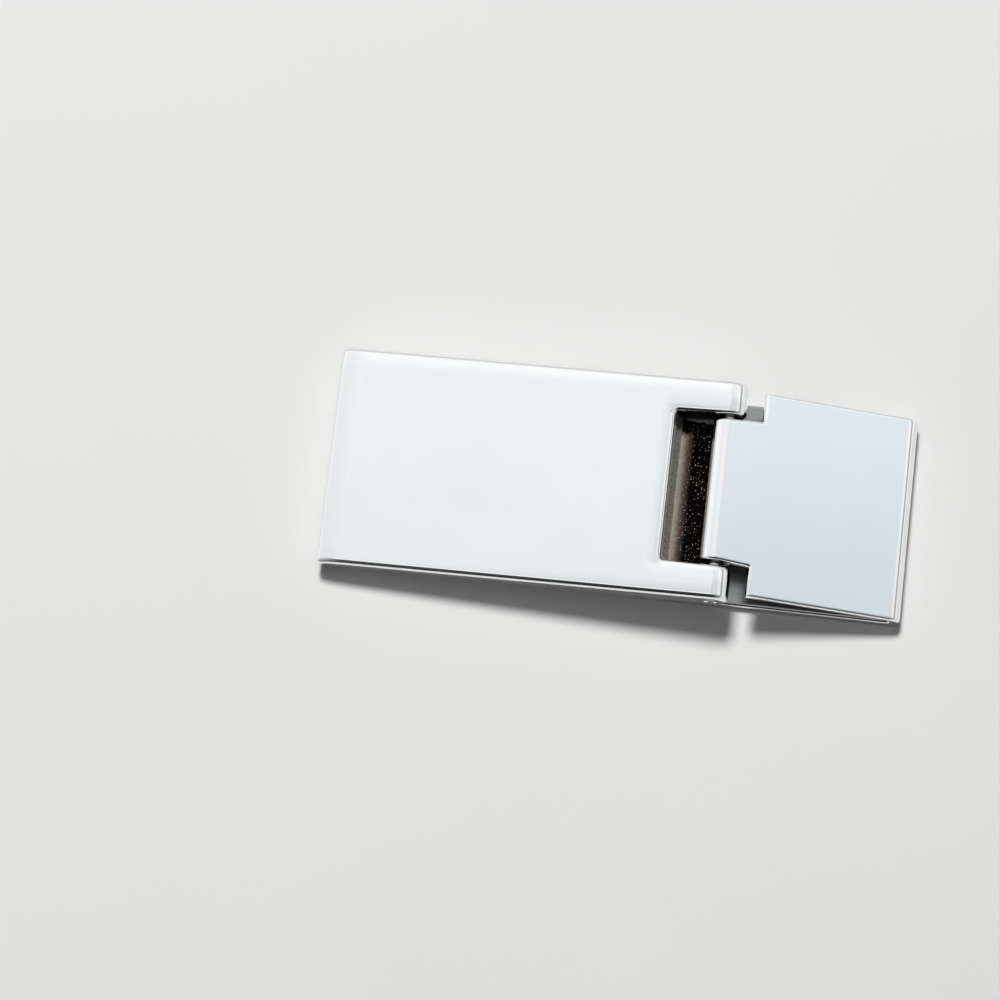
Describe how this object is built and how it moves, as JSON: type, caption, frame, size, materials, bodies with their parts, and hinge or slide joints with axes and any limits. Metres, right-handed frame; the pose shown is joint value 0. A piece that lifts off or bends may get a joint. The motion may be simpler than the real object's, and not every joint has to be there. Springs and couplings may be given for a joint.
{
  "type": "money clip",
  "caption": "Hinged money clip: a flat back plate folded into a front plate, with a snap-shut flap that holds folded banknotes.",
  "frame": {"origin": "middle of the clip's length and width, on the back plate's flat outer face", "axes": "+X along the length toward the folded end, +Y across the width and along the hinge axis, +Z from the back plate up to the front flap"},
  "size_m": [0.0604, 0.0232, 0.007],
  "materials": {
    "body_plating": "bright silver-coloured plating on bent steel sheet, mirror polished",
    "flap_plating": "bright silver-coloured plating on a casting, mirror polished",
    "pin_plating": "steel pin, plated and polished with the flap",
    "spring_steel": "bright rolled spring steel",
    "rivet_steel": "plain bright steel"
  },
  "bodies": {
    "body": {"clip_body": "body_plating"},
    "flap": {"front_flap": "flap_plating", "hinge_pin": "pin_plating", "leaf_spring": "spring_steel", "spring_rivets": "rivet_steel"}
  },
  "joints": [
    {"name": "flap_hinge", "type": "hinge", "parent": "body", "child": "flap", "pos_m": [0.0105, 0, 0.0052], "axis": [0, 1, 0], "range_deg": [0, 95], "deforming": ["leaf_spring"]}
  ]
}
